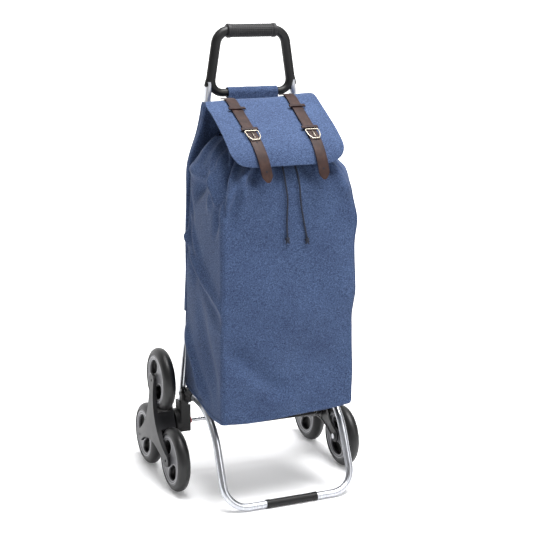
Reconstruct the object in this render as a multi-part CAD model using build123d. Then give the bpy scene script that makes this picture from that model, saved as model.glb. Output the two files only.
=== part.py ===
from build123d import *
import os
from math import atan2, cos, degrees, pi, radians, sin, tan

# Folding shopping trolley with two stair-climbing wheel sets and a fabric bag.
# Millimetres. +Z is up, the bag faces -Y, and the origin is on the floor at the
# centre of the footprint. Everything is drawn with Y = 0 on the main axle and
# moved back by AXLE_Y as it is saved.

# ---- driving dimensions ----
WHEEL_R = 70.0            # tyre radius
STAR_R = 104.0            # axle to wheel centre
AXLE_Z = WHEEL_R + STAR_R * sin(radians(30))
AXLE_R = 5.0
RUN_GAP = 0.05            # radial clearance of a turning fit

WHEEL_X = 201.75          # wheel mid-plane
TYRE_W = 29.0
RIM_R = 55.3
RIM_HALF = 13.2           # half the rim ring's width
WHEEL_HUB_HALF = 15.2
BOLT_R = 4.0
OPENING_R = (15.0, 45.5)  # inner and outer radius of the rim's openings
OPENING_ARC = 84.0        # degrees that an opening spans
RIM_TURN = {"left": (47, 47, 47), "right": (15, 88, 60)}

ARM_END_R = 14.0          # rounded end of a star arm
STAR_WAIST = 35.0         # axle to the middle of the concave side
PLATE_FACE_X = 228.0      # outer face of the star over the axle
DOME_DROP = 4.5           # how far the arm ends fall back from that face
SKIRT_X = 217.4           # edge of the outer plate's skirt
INNER_PLATE_X = 181.6
INNER_PLATE_T = 4.0
SKIN_T = 3.0

FOOT_Y = -258.0           # foot bar
FOOT_Z = 9.2
SLEEVE_R = 9.5            # its underside is cut flat where it meets the floor
AXLE_Y = (SLEEVE_R - FOOT_Y - STAR_R * cos(radians(30)) - WHEEL_R) / 2
LEG_X = 147.0
LEG_Z = 196.0             # height of the leg's level stretch and of its pivot
LEG_R = 8.0
LEG_WALL = 1.2
LEG_DROP = 65.0           # degrees that the leg turns down
LEG_BEND_R = 127.0
FOOT_BEND_R = 50.0
PIVOT_Y = -20.0
PIN_R = 3.0
TONGUE_T = 8.0            # flat tongue of the leg's end piece
EYE_R = 8.0

UPRIGHT_W = 13.0          # flat-oval section, across and front to back
UPRIGHT_D = 20.0
UPRIGHT_WALL = 1.4
UPRIGHT_LOW = Vector(157.0, 2.4, 142.0)
UPRIGHT_TOP = Vector(95.7, -26.6, 878.0)

HANDLE_Y = -27.0
HANDLE_R = 10.0
HANDLE_TOP_Z = 983.5
HANDLE_LOW_Z = 854.0
HANDLE_TOP_X = 71.3       # corners of the loop's centre line
HANDLE_LOW_X = 94.1
LOW_BAR_R = 8.5
GRIP_R = 15.0
GRIP_HALF = 56.0

BAG_X = 150.0
BAG_FRONT = -237.0
BAG_LOW = 208.6           # the bag's floor
BAG_HEM = 190.0           # lower edge of its front
BAG_MID = 640.0           # the walls gather above this
BAG_TOP = 836.0           # top of the back panel
MOUTH_Z = 765.0
CLOTH_T = 1.6
SLEEVE_ROWS = [           # height, and how far the sleeve reaches in and out
    (380, 126, 146), (450, 121, 144), (640, 105, 144), (714, 98, 141), (774, 94, 121), (834, 88, 109),
]
BACK_LEAN = (UPRIGHT_TOP.Y - UPRIGHT_LOW.Y) / (UPRIGHT_TOP.Z - UPRIGHT_LOW.Z)

FLAP_X = 120.0
FLAP_T = 2.4
FLAP_CORNER = 44.0
STRAP_X = 66.0
STRAP_W = 24.0
STRAP_T = 2.0
HINGE = (-43.0, 839.0)    # Y and Z of the flap's folding line
FLAP_LINE = [HINGE, (-85, 845), (-125, 828), (-205, 786), (-240, 757), (-253, 727)]
TIP_DROP = 30.0           # the straps hang this far below the flap
KEEPER_AT = 0.27          # shares of the strap's length
BUCKLE_AT = 0.62

CORD_R = 1.8
CORD_ROUTES = {
    "right": [(9, -172, 762), (12, -198, 748), (14, -226, 722), (16, -243, 688),
              (20, -243.5, 648), (28, -241.5, 608), (35, -243, 570)],
    "left": [(-9, -172, 762), (-12, -197, 747), (-14, -226, 724), (-14.5, -243, 690),
             (-12, -243, 650), (-9.5, -241.5, 612), (-8, -243, 574)],
}


def back_y(z):
    """Y of the bag's back panel at height z: just in front of the uprights."""
    front = UPRIGHT_LOW.Y + BACK_LEAN * (z - UPRIGHT_LOW.Z) - UPRIGHT_D / 2
    return front - 2.4


# ---- helpers ----
def save(name, shape):
    export_step(Pos(0, AXLE_Y, 0) * shape, f"parts/{name}.step")


def mirrored(shape):
    return mirror(shape, about=Plane.YZ)


def save_pair(name, shape):
    """Save a part drawn on the +X side and its mirror image."""
    save(f"{name}_right", shape)
    save(f"{name}_left", mirrored(shape))


def rod_x(radius, x0, x1, y, z):
    """A round bar along X."""
    length = x1 - x0
    return Pos((x0 + x1) / 2, y, z) * Rot(0, 90, 0) * Cylinder(radius, length)


def block(x, y, z):
    """A box from three (low, high) pairs."""
    size = [b - a for a, b in (x, y, z)]
    middle = [(a + b) / 2 for a, b in (x, y, z)]
    return Pos(*middle) * Box(*size)


def side_profile(points, thickness, x0, x1):
    """A thin curved sheet: a line in the YZ plane, given a thickness and a width."""
    strip = trace(Spline(*points), thickness)
    return extrude(Plane.YZ.offset(x0) * strip, amount=x1 - x0)


def moved_out(points, distance, start):
    """A smooth line beside another, up and forwards of it, from a share of its length on."""
    line = Spline(*points)
    out = []
    for i in range(21):
        t = start + (1 - start) * i / 20
        at, along = line @ t, line % t
        out.append((at.X + along.Y * distance, at.Y - along.X * distance))
    return out


def group(shapes):
    """Separate solids that share one node."""
    return Compound([solid for shape in shapes for solid in shape.solids()])


# ---- star wheel sets ----
def star_outline():
    """Three arms with round ends, joined by concave arcs that meet the ends smoothly."""
    centre_line = [(STAR_R * cos(radians(a)), STAR_R * sin(radians(a))) for a in (90, 210, 330)]
    web = offset(Polygon(*centre_line, align=None), amount=ARM_END_R, kind=Kind.ARC)
    reach = STAR_WAIST - ARM_END_R
    arc_at = (STAR_R ** 2 - reach ** 2) / (STAR_R - 2 * reach)
    arc_r = arc_at - STAR_WAIST
    for a in (30, 150, 270):
        web -= Pos(arc_at * cos(radians(a)), arc_at * sin(radians(a))) * Circle(arc_r)
    return web


def wheel_spots():
    return [(STAR_R * cos(radians(a)), STAR_R * sin(radians(a))) for a in (90, 210, 330)]


def core_outline():
    """The part of the star between the three wheels."""
    core = star_outline()
    for y, z in wheel_spots():
        core -= Pos(y, z) * Circle(WHEEL_R + 2.5)
    return core


def slab(sketch, x0, x1):
    """Extrude a sketch drawn around the axle from x0 to x1."""
    return extrude(Plane.YZ.offset(x0) * Pos(0, AXLE_Z) * sketch, amount=x1 - x0)


def dome(drop):
    """A very large ball whose side is the star's slightly domed face."""
    reach = STAR_R + ARM_END_R
    ball_r = reach ** 2 / (2 * DOME_DROP)
    return Pos(PLATE_FACE_X - drop - ball_r, 0, AXLE_Z) * Sphere(ball_r)


def star_core(x0, x1, floor_side):
    """Hollow hub: outer wall, axle boss and three ribs."""
    wall = slab(core_outline(), x0, x1) - slab(offset(core_outline(), amount=-SKIN_T), x0, x1)
    boss = rod_x(13, x0, x1, 0, AXLE_Z)
    ribs = [
        Pos(0, 0, AXLE_Z) * Rot(a, 0, 0) * block((x0, x1), (0, 27), (-1.5, 1.5)) for a in (30, 150, 270)
    ]
    return wall + boss + ribs


def star_outer():
    shell = slab(star_outline(), SKIRT_X, PLATE_FACE_X + 1) & dome(0)
    hollow = slab(offset(star_outline(), amount=-SKIN_T), SKIRT_X, PLATE_FACE_X + 1) & dome(SKIN_T)
    shell = shell - hollow
    for y, z in wheel_spots():
        boss = rod_x(10, WHEEL_X + WHEEL_HUB_HALF + 0.15, PLATE_FACE_X, y, AXLE_Z + z) & dome(0.5)
        shell += boss
    part = shell + (star_core(WHEEL_X, PLATE_FACE_X, 1) & dome(0.5))
    for y, z in wheel_spots():
        part -= rod_x(BOLT_R, WHEEL_X, 221, y, AXLE_Z + z)
        part -= rod_x(3.2, 221, PLATE_FACE_X, y, AXLE_Z + z)
    part -= rod_x(AXLE_R + RUN_GAP, WHEEL_X - 1, 212, 0, AXLE_Z)
    part -= rod_x(9.5, 209, 219, 0, AXLE_Z)
    return part


def star_inner():
    plate = slab(star_outline(), INNER_PLATE_X, INNER_PLATE_X + INNER_PLATE_T)
    recess = slab(offset(star_outline(), amount=-SKIN_T), INNER_PLATE_X - 1, INNER_PLATE_X + 1.5)
    plate = plate - recess
    for y, z in wheel_spots():
        face = WHEEL_X - WHEEL_HUB_HALF - 0.15
        plate += rod_x(10, INNER_PLATE_X, face, y, AXLE_Z + z)
    part = plate + star_core(INNER_PLATE_X, WHEEL_X, -1)
    for y, z in wheel_spots():
        part -= rod_x(BOLT_R, INNER_PLATE_X - 1, WHEEL_X, y, AXLE_Z + z)
    part -= rod_x(AXLE_R + RUN_GAP, INNER_PLATE_X - 1, WHEEL_X + 1, 0, AXLE_Z)
    return part


def star_bolts():
    """Three wheel axles: shank, hexagon nut inside and a small head in the outer boss."""
    bolts = []
    for y, z in wheel_spots():
        shank = rod_x(BOLT_R, INNER_PLATE_X, 221, y, AXLE_Z + z)
        nut = Plane.YZ.offset(INNER_PLATE_X - 3.4) * Pos(y, AXLE_Z + z) * RegularPolygon(6.6, 6)
        head = rod_x(3.0, 221, 222.2, y, AXLE_Z + z)
        bolts.append(shank + extrude(nut, amount=3.4) + head)
    return group(bolts)


def rim(y, z, turn):
    """Two thin discs and a ring round a hub, with two quadrant openings through the discs."""
    outside = [
        (BOLT_R + RUN_GAP, WHEEL_HUB_HALF), (11, WHEEL_HUB_HALF), (12, 12.4), (47, 12.4),
        (48, RIM_HALF), (RIM_R, RIM_HALF),
    ]
    ring = outside + [(r, -x) for r, x in reversed(outside)]
    solid = revolve(Plane.XZ * Polygon(*ring, align=None), axis=Axis.Z)
    hollow = Pos(0, 0, 0) * (Cylinder(48, 18) - Cylinder(11, 18))
    half = OPENING_ARC / 2
    low, high = OPENING_R
    fan = Circle(high) - Circle(low)
    wedge = [(0, 0), (90 * cos(radians(-half)), 90 * sin(radians(-half))),
             (90 * cos(radians(half)), 90 * sin(radians(half)))]
    fan = fan & Polygon(*wedge, align=None)
    fan = fillet(fan.vertices(), 6)
    for a in (0, 180):
        hollow += Rot(0, 0, a) * extrude(Pos(0, 0, -20) * fan, amount=40)
    solid = solid - hollow
    return Pos(WHEEL_X, y, AXLE_Z + z) * Rot(turn - 90, 0, 0) * Rot(0, 90, 0) * Rot(0, 0, -90) * solid


def tyre(y, z):
    """Round-shouldered solid tyre."""
    half = TYRE_W / 2
    tread = WHEEL_R
    section = Polyline((RIM_R, -RIM_HALF), (RIM_R, RIM_HALF), (RIM_R + 1.5, half))
    shoulder = ThreePointArc((RIM_R + 1.5, half), (RIM_R + 11, half * 0.66), (tread, 0))
    other = ThreePointArc((tread, 0), (RIM_R + 11, -half * 0.66), (RIM_R + 1.5, -half))
    close = Line((RIM_R + 1.5, -half), (RIM_R, -RIM_HALF))
    face = make_face([section, shoulder, other, close])
    ring = revolve(Plane.XZ * face, axis=Axis.Z)
    return Pos(WHEEL_X, y, AXLE_Z + z) * Rot(0, 90, 0) * ring


# ---- axle and brackets ----
def axle():
    bar = rod_x(AXLE_R, -215, 215, 0, AXLE_Z)
    for side in (-1, 1):
        groove = rod_x(AXLE_R + 1, *sorted((side * 211.0, side * 212.4)), 0, AXLE_Z)
        bar -= groove - rod_x(4.0, *sorted((side * 211.0, side * 212.4)), 0, AXLE_Z)
    return bar


def clips():
    """Retaining rings in the axle's end grooves, inside the star hubs."""
    ring = rod_x(8.0, 211.1, 212.3, 0, AXLE_Z) - rod_x(4.05, 211.1, 212.3, 0, AXLE_Z)
    ring -= block((211, 213), (-1.8, 1.8), (AXLE_Z - 9, AXLE_Z - 3))
    return group([ring, mirrored(ring)])


def bush():
    """Red flanged bush that the axle passes through at the bracket's inner face."""
    flange = rod_x(8.5, 135.8, 138.9, 0, AXLE_Z)
    barrel = rod_x(7.0, 133.0, 135.8, 0, AXLE_Z)
    return flange + barrel - rod_x(AXLE_R, 130, 140, 0, AXLE_Z)


def upright_tube(extra, z0, z1):
    """The flat oval along the upright's line, grown by extra, between two heights."""
    run = UPRIGHT_TOP - UPRIGHT_LOW
    low = UPRIGHT_LOW + run * ((z0 - UPRIGHT_LOW.Z) / run.Z)
    high = UPRIGHT_LOW + run * ((z1 - UPRIGHT_LOW.Z) / run.Z)
    across = Plane(origin=low, x_dir=(0, 1, 0), z_dir=high - low)
    oval = SlotOverall(UPRIGHT_D + 2 * extra, UPRIGHT_W + 2 * extra)
    return extrude(across * oval, amount=(high - low).length)


def upright():
    tube = upright_tube(0, UPRIGHT_LOW.Z, UPRIGHT_TOP.Z)
    return tube - upright_tube(-UPRIGHT_WALL, UPRIGHT_LOW.Z - 5, UPRIGHT_TOP.Z + 5)


def bracket():
    """Moulded corner: socket for the upright, axle drum and a fork for the folding leg."""
    body = block((139, 165), (-20, 14.5), (104, 171))
    body = fillet(body.edges().filter_by(Axis.Z), 4)
    plate = block((139, 161), (-20, -10.8), (171, 204))
    cheek = rod_x(8.5, 139, 155, PIVOT_Y, LEG_Z)
    web = block((139, 155), (PIVOT_Y - 8.5, PIVOT_Y), (176, LEG_Z))
    drum = rod_x(31, 165, 178, 0, AXLE_Z)
    drum = fillet(drum.edges().sort_by(Axis.X)[-1], 4)
    boss = rod_x(12, 178, INNER_PLATE_X - 0.3, 0, AXLE_Z)
    part = body + plate + cheek + web + drum + boss
    part -= block((LEG_X - 4.4, LEG_X + 4.4), (-30, -11.4), (LEG_Z - EYE_R - 0.8, 206))
    part -= upright_tube(0, UPRIGHT_LOW.Z, 230)
    part -= rod_x(AXLE_R, 130, 190, 0, AXLE_Z)
    part -= rod_x(PIN_R, 130, 170, PIVOT_Y, LEG_Z)
    part -= rod_x(5.1, 155, 158, PIVOT_Y, LEG_Z)
    for z in (150, 160):
        part -= block((138, 140.2), (-16, 11), (z, z + 4))
    part -= Pos(150, -20, 176) * Rot(90, 0, 0) * Cylinder(2.5, 24)
    return part


def screws():
    """Pan-head screws: upright to bracket, and handle to upright."""
    found = []
    low = UPRIGHT_LOW + (UPRIGHT_TOP - UPRIGHT_LOW) * ((188 - 142) / (878 - 142))
    for x, y, z in ((low.X + UPRIGHT_W / 2, low.Y, 188),):
        head = Pos(x + 1.1, y, z) * Rot(0, 90, 0) * Cylinder(4, 1.6)
        found += [head, mirrored(head)]
    return group(found)


def pivot_pins():
    pin = rod_x(PIN_R, 139, 155, PIVOT_Y, LEG_Z)
    pin += rod_x(4.8, 137.5, 139, PIVOT_Y, LEG_Z)
    pin += rod_x(4.8, 155, 156.6, PIVOT_Y, LEG_Z)
    return group([pin, mirrored(pin)])


def stop_pins():
    """Steel stops under the leg's end pieces: the open leg rests on them."""
    pin = Pos(150, -20, 176) * Rot(90, 0, 0) * Cylinder(2.5, 20, align=(Align.CENTER, Align.CENTER, Align.MIN))
    pin += Pos(150, -20, 176) * Rot(-90, 0, 0) * Cylinder(2.5, 8, align=(Align.CENTER, Align.CENTER, Align.MIN))
    return pin


# ---- folding leg ----
def leg_line(end_y):
    knee_y = FOOT_Y + (LEG_Z - FOOT_Z) / tan(radians(LEG_DROP))
    right = [(LEG_X, end_y, LEG_Z), (LEG_X, knee_y, LEG_Z), (LEG_X, FOOT_Y, FOOT_Z)]
    left = [(-x, y, z) for x, y, z in reversed(right)]
    radii = [LEG_BEND_R, FOOT_BEND_R, FOOT_BEND_R, LEG_BEND_R]
    return FilletPolyline(*right, *left, radius=radii)


def leg_tube():
    line = leg_line(-34.0)
    start = Plane(origin=line @ 0, z_dir=line % 0)
    return sweep(start * (Circle(LEG_R) - Circle(LEG_R - LEG_WALL)), path=line)


def leg_socket():
    """Plastic end piece: sleeve over the tube and a flat tongue with the pivot eye."""
    sleeve = Pos(LEG_X, -46, LEG_Z) * Rot(90, 0, 0) * Cylinder(9.4, 32)
    sleeve = fillet(sleeve.edges().filter_by(GeomType.CIRCLE), 1.2)
    eye = rod_x(EYE_R, LEG_X - TONGUE_T / 2, LEG_X + TONGUE_T / 2, PIVOT_Y, LEG_Z)
    neck = block(
        (LEG_X - TONGUE_T / 2, LEG_X + TONGUE_T / 2), (-33, PIVOT_Y), (LEG_Z - EYE_R, LEG_Z + EYE_R)
    )
    part = sleeve + eye + neck
    part -= Pos(LEG_X, -34 - 20, LEG_Z) * Rot(90, 0, 0) * Cylinder(LEG_R, 40)
    part -= rod_x(PIN_R + RUN_GAP, 130, 160, PIVOT_Y, LEG_Z)
    return part


def foot_sleeve():
    """Plastic sleeve on the foot bar, with a thicker collar at each end."""
    sleeve = rod_x(SLEEVE_R - 0.6, -58.5, 58.5, FOOT_Y, FOOT_Z)
    for x in (-58.5, 50.5):
        sleeve += rod_x(SLEEVE_R, x, x + 8, FOOT_Y, FOOT_Z)
    sleeve -= block((-60, 60), (FOOT_Y - 10, FOOT_Y + 10), (-5, 0))
    return sleeve - rod_x(LEG_R, -60, 60, FOOT_Y, FOOT_Z)


def bag_rest():
    """Steel rod that carries the front of the bag, its ends in the two leg tubes."""
    right = [(LEG_X - LEG_R - 1.6, -96, 192), (100, -160, 187), (72, -221, 182)]
    left = [(-x, y, z) for x, y, z in reversed(right)]
    line = FilletPolyline(*right, *left, radius=[40, 10, 10, 40])
    return sweep(Plane(origin=line @ 0, z_dir=line % 0) * Circle(2.5), path=line)


def base_board():
    """Plate under the bag, carried by the leg tube and folding with it."""
    board = block((-149, 149), (-214, -60), (LEG_Z + LEG_R + 0.3, BAG_LOW - 0.3))
    board = fillet(board.edges().filter_by(Axis.Z), 12)
    for x in (-LEG_X, LEG_X):
        board -= Pos(x, -54, LEG_Z) * Rot(90, 0, 0) * Cylinder(9.8, 24)
    return board


# ---- handle ----
def loop_line(half_low):
    """The handle's upper run, from one end of the lower bar round to the other."""
    right = [(half_low, HANDLE_Y, HANDLE_LOW_Z), (HANDLE_LOW_X, HANDLE_Y, HANDLE_LOW_Z),
             (HANDLE_TOP_X, HANDLE_Y, HANDLE_TOP_Z)]
    left = [(-x, y, z) for x, y, z in reversed(right)]
    return FilletPolyline(*right, *left, radius=[20, 16, 16, 20])


def handle_loop():
    line = loop_line(64)
    ring = sweep(Plane(origin=line @ 0, z_dir=line % 0) * Circle(HANDLE_R), path=line)
    ring += rod_x(LOW_BAR_R, -66, 66, HANDLE_Y, HANDLE_LOW_Z)
    for shape in (upright_tube(1.6, 866, 884), mirrored(upright_tube(1.6, 866, 884))):
        ring += shape
    for shape in (upright_tube(0, 800, 878), mirrored(upright_tube(0, 800, 878))):
        ring -= shape
    return ring


def handle_grip():
    """Rubber sleeve with raised end collars."""
    grip = rod_x(GRIP_R - 0.8, -GRIP_HALF, GRIP_HALF, HANDLE_Y, HANDLE_TOP_Z)
    for x in (-GRIP_HALF, GRIP_HALF - 6):
        collar = rod_x(GRIP_R, x, x + 6, HANDLE_Y, HANDLE_TOP_Z)
        grip += fillet(collar.edges().filter_by(GeomType.CIRCLE), 1.5)
    return grip - rod_x(HANDLE_R, -60, 60, HANDLE_Y, HANDLE_TOP_Z)


# ---- bag ----
def bag_front():
    return block((-BAG_X, BAG_X), (BAG_FRONT, BAG_FRONT + CLOTH_T), (BAG_HEM, BAG_MID))


def bag_side():
    """Side wall on +X, cut to the leaning back panel."""
    y0 = BAG_FRONT + CLOTH_T
    low = back_y(BAG_LOW) - CLOTH_T
    high = back_y(BAG_MID) - CLOTH_T
    outline = Polygon((y0, BAG_LOW), (low, BAG_LOW), (high, BAG_MID), (y0, BAG_MID), align=None)
    return extrude(Plane.YZ.offset(BAG_X - CLOTH_T) * outline, amount=CLOTH_T)


def back_strip(rows):
    """A stretch of the back panel, from rows of a half width and a height."""
    z0, z1 = rows[0][1], rows[-1][1]
    y0, y1 = back_y(z0), back_y(z1)
    panel = Polygon(
        (y0, z0), (y1, z1), (y1 - CLOTH_T, z1), (y0 - CLOTH_T, z0), align=None
    )
    slab_x = extrude(Plane.YZ.offset(-BAG_X) * panel, amount=2 * BAG_X)
    trim = Polygon(*[(-half, z) for half, z in reversed(rows)], *rows, align=None)
    return slab_x & extrude(Plane.XZ.offset(-40) * trim, amount=120)


def bag_sleeve():
    """Cloth sleeve sewn to the back panel, with the upright inside it."""
    shells = []
    for shrink in (0, CLOTH_T):
        faces = []
        for z, inner, outer in SLEEVE_ROWS:
            rear = back_y(z) + UPRIGHT_D + 5
            section = RectangleRounded(outer - inner - 2 * shrink, 40 - 2 * shrink, 8 - shrink)
            faces.append(Plane.XY.offset(z) * Pos((inner + outer) / 2, rear - 20) * section)
        shells.append(loft(faces, ruled=True))
    z0, z1 = SLEEVE_ROWS[0][0], SLEEVE_ROWS[-1][0]
    y0, y1 = back_y(z0) + 0.3, back_y(z1) + 0.3
    front = Polygon((y0, z0), (y1, z1), (y1 - 60, z1), (y0 - 60, z0), align=None)
    return shells[0] - shells[1] - extrude(Plane.YZ.offset(50) * front, amount=150)


def bag_bottom():
    y1 = back_y(BAG_LOW) - CLOTH_T - 0.2
    inside = BAG_X - CLOTH_T
    return block((-inside, inside), (BAG_FRONT + CLOTH_T, y1), (BAG_LOW, BAG_LOW + CLOTH_T))


def yoke_section(z, half, front, back, radius):
    middle = (front + back) / 2
    sketch = RectangleRounded(2 * half, back - front, radius)
    return Plane.XY.offset(z) * Pos(0, middle) * sketch


def bag_yoke():
    """The gathered upper part: the section shrinks from the full bag to the drawn-in mouth."""
    rows = [
        (BAG_MID, 150, -237, back_y(BAG_MID) - CLOTH_T - 0.3, 8),
        (700, 138, -232, back_y(700) - CLOTH_T - 0.3, 20),
        (MOUTH_Z, 70, -160, -58, 40),
    ]
    shells = []
    for shrink in (0, CLOTH_T):
        faces = [
            yoke_section(z, half - shrink, front + shrink, back - shrink, r - shrink)
            for z, half, front, back, r in rows
        ]
        shells.append(loft(faces, ruled=True))
    return shells[0] - shells[1]


def bag_hanger():
    """Fabric loop round the handle's lower bar that carries the bag."""
    low = BAG_TOP + 0.3
    wrap = rod_x(LOW_BAR_R + 2.4, -56, 58, HANDLE_Y, HANDLE_LOW_Z)
    tail = block((-56, 58), (HANDLE_Y - LOW_BAR_R - 2.4, HANDLE_Y - LOW_BAR_R), (low, HANDLE_LOW_Z))
    return wrap + tail - rod_x(LOW_BAR_R + 0.1, -60, 60, HANDLE_Y, HANDLE_LOW_Z)


# ---- flap with its straps ----
def flap():
    """Lid: a curved sheet with two rounded front corners."""
    sheet = side_profile(FLAP_LINE, FLAP_T, -FLAP_X, FLAP_X)
    top = 900.0
    low = 726.0
    outline = Polygon((-FLAP_X, top), (-FLAP_X, low), (FLAP_X, low), (FLAP_X, top), align=None)
    outline = fillet(outline.vertices().group_by(Axis.Y)[0], FLAP_CORNER)
    return sheet & extrude(Plane.XZ * outline, amount=300)


def strap_line():
    line = moved_out(FLAP_LINE, FLAP_T / 2 + STRAP_T / 2 + 0.15, 0.1)
    y, z = line[-1]
    return line + [(y - 6, z - TIP_DROP)]


def strap():
    """Leather strap along the flap with a pointed tip below its edge."""
    line = strap_line()
    strip = side_profile(line, STRAP_T, STRAP_X - STRAP_W / 2, STRAP_X + STRAP_W / 2)
    low = line[-1][1]
    half = STRAP_W / 2
    outline = Polygon(
        (STRAP_X - half, 900), (STRAP_X - half, low + 12), (STRAP_X, low),
        (STRAP_X + half, low + 12), (STRAP_X + half, 900), align=None
    )
    return strip & extrude(Plane.XZ * outline, amount=320)


def on_strap(shape, share, lift):
    """Lay a flat shape (width along X, length along Y) on a strap, a share of its length down."""
    line = Spline(*strap_line())
    at, along = line @ share, line % share
    slope = degrees(atan2(-along.Y, -along.X))
    return Pos(STRAP_X, at.X, at.Y) * Rot(slope, 0, 0) * Pos(0, 0, lift) * shape


def keeper():
    """Leather loop across the strap."""
    band = Box(STRAP_W + 5, 9, 1.6)
    return on_strap(band, KEEPER_AT, STRAP_T / 2 + 1.0)


def buckle():
    """Flat D-shaped metal frame."""
    frame = RectangleRounded(34, 30, 9) - RectangleRounded(27, 23, 6)
    return on_strap(extrude(frame, amount=2.4), BUCKLE_AT, STRAP_T / 2 + 0.4)


def prong():
    pin = Box(2.6, 25, 1.8)
    return on_strap(pin, BUCKLE_AT, STRAP_T / 2 + 3.8)


# ---- drawstring ----
def cord_radii(points):
    radii = []
    for a, b, c in zip(points, points[1:], points[2:]):
        before, after = Vector(*b) - Vector(*a), Vector(*c) - Vector(*b)
        turn = before.get_angle(after)
        shorter = min(before.length, after.length)
        radii.append(0.45 * shorter / tan(radians(turn / 2)))
    return radii


def drawstring(route):
    radii = cord_radii(route)
    line = FilletPolyline(*route, radius=radii)
    tube = sweep(Plane(origin=line @ 0, z_dir=line % 0) * Circle(CORD_R), path=line)
    ratio = tube.volume / (line.length * pi * CORD_R ** 2)
    print("drawstring radii", [round(r) for r in radii], "length", round(line.length))
    print("drawstring volume over section times length", round(ratio, 4))
    return tube


def knot(route):
    x, y, z = route[-1]
    return Pos(x, y, z - 4.2) * Sphere(4.2)


def eyelet(route):
    ring = Cylinder(5, 2) - Cylinder(2.4, 2)
    run = Vector(*route[1]) - Vector(*route[0])
    return Plane(origin=route[0], z_dir=run) * Pos(0, 0, 3) * ring


def wheel_name(side, number):
    return f"{side}_{('top', 'front', 'rear')[number]}"


os.makedirs("parts", exist_ok=True)

save_pair("star_outer", star_outer())
save_pair("star_inner", star_inner())
save_pair("star_bolts", star_bolts())
for number, (y, z) in enumerate([(0, STAR_R), (-STAR_R * cos(radians(30)), -STAR_R / 2),
                                 (STAR_R * cos(radians(30)), -STAR_R / 2)]):
    for side in ("left", "right"):
        wheel_rim = rim(y, z, RIM_TURN[side][number])
        wheel_tyre = tyre(y, z)
        if side == "left":
            wheel_rim, wheel_tyre = mirrored(wheel_rim), mirrored(wheel_tyre)
        save(f"rim_{wheel_name(side, number)}", wheel_rim)
        save(f"tyre_{wheel_name(side, number)}", wheel_tyre)

save("axle", axle())
save("axle_clips", clips())
save("axle_bushes", group([bush(), mirrored(bush())]))
save_pair("bracket", bracket())
save_pair("upright", upright())
save("bracket_screws", screws())
save("pivot_pins", pivot_pins())
save("stop_pins", group([stop_pins(), mirrored(stop_pins())]))

save("leg_tube", leg_tube())
save_pair("leg_socket", leg_socket())
save("foot_sleeve", foot_sleeve())
save("bag_rest", bag_rest())
save("base_board", base_board())

save("handle_loop", handle_loop())
save("handle_grip", handle_grip())

save("bag_front", bag_front())
save_pair("bag_side", bag_side())
save("bag_back", back_strip([(BAG_X, BAG_LOW), (BAG_X, BAG_MID)]))
save("bag_back_top", back_strip([(BAG_X - 1, BAG_MID + 0.2), (146, 714), (124, 774), (106, BAG_TOP)]))
save_pair("bag_sleeve", bag_sleeve())
save("bag_bottom", bag_bottom())
save("bag_yoke", bag_yoke())
save("bag_hanger", bag_hanger())

save("flap", flap())
save_pair("strap", strap())
save("strap_keepers", group([keeper(), mirrored(keeper())]))
save_pair("buckle", buckle())
save("buckle_prongs", group([prong(), mirrored(prong())]))
for side, route in CORD_ROUTES.items():
    save(f"drawstring_{side}", drawstring(route))
save("drawstring_knots", group([knot(route) for route in CORD_ROUTES.values()]))
save("eyelets", group([eyelet(route) for route in CORD_ROUTES.values()]))
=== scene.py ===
"""Folding shopping trolley: finishes, cloth, straps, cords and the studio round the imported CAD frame."""
from functools import partial

import bmesh
import bpy
import numpy as np
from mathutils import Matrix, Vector


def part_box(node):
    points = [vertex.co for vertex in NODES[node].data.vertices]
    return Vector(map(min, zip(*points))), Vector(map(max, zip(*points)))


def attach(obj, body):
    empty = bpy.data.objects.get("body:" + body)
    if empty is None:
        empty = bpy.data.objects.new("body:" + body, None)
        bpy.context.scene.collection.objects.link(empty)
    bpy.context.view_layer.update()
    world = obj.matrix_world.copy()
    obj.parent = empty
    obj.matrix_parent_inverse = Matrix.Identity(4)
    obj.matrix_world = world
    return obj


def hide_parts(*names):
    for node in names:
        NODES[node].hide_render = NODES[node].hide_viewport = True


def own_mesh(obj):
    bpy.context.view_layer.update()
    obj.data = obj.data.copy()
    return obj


bl_info = {
    "name": "Folding Shopping Trolley",
    "version": (1, 0, 0),
    "blender": (4, 5, 0),
    "location": "View3D > Sidebar > Trolley",
    "description": "Dresses the trolley's frame with its bag, flap, straps, cords and finishes",
    "category": "Object",
}

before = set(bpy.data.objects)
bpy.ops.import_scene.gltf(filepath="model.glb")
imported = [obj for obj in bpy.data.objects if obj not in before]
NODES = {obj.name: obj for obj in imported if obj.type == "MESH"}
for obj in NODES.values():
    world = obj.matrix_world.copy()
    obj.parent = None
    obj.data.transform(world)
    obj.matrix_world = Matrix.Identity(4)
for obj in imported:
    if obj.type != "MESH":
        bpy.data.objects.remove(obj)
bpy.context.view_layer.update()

low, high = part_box("axle")
AXLE_Y = (low.y + high.y) / 2
MM = 0.001
SIDES = {"left": -1, "right": 1}


# ---- numbers and meshes ----
def shifted(points):
    """Millimetres measured from the axle's middle, made metres in the frame."""
    points = np.asarray(points, float)
    return points * MM + np.array([0, AXLE_Y, 0])


def spline(knots, values, at):
    """Catmull-Rom curve through values at the given knots, worked out for a whole array."""
    knots, values, at = np.asarray(knots, float), np.asarray(values, float), np.asarray(at, float)
    slopes = np.gradient(values, knots, axis=0)
    i = np.clip(np.searchsorted(knots, at) - 1, 0, len(knots) - 2)
    h = knots[i + 1] - knots[i]
    t = np.clip((at - knots[i]) / h, 0, 1)
    extra = (...,) + (None,) * (values.ndim - 1)
    h, t = h[extra], t[extra]
    a, b, ma, mb = values[i], values[i + 1], slopes[i] * h, slopes[i + 1] * h
    return ((2 * t**3 - 3 * t**2 + 1) * a + (t**3 - 2 * t**2 + t) * ma
            + (3 * t**2 - 2 * t**3) * b + (t**3 - t**2) * mb)


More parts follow.
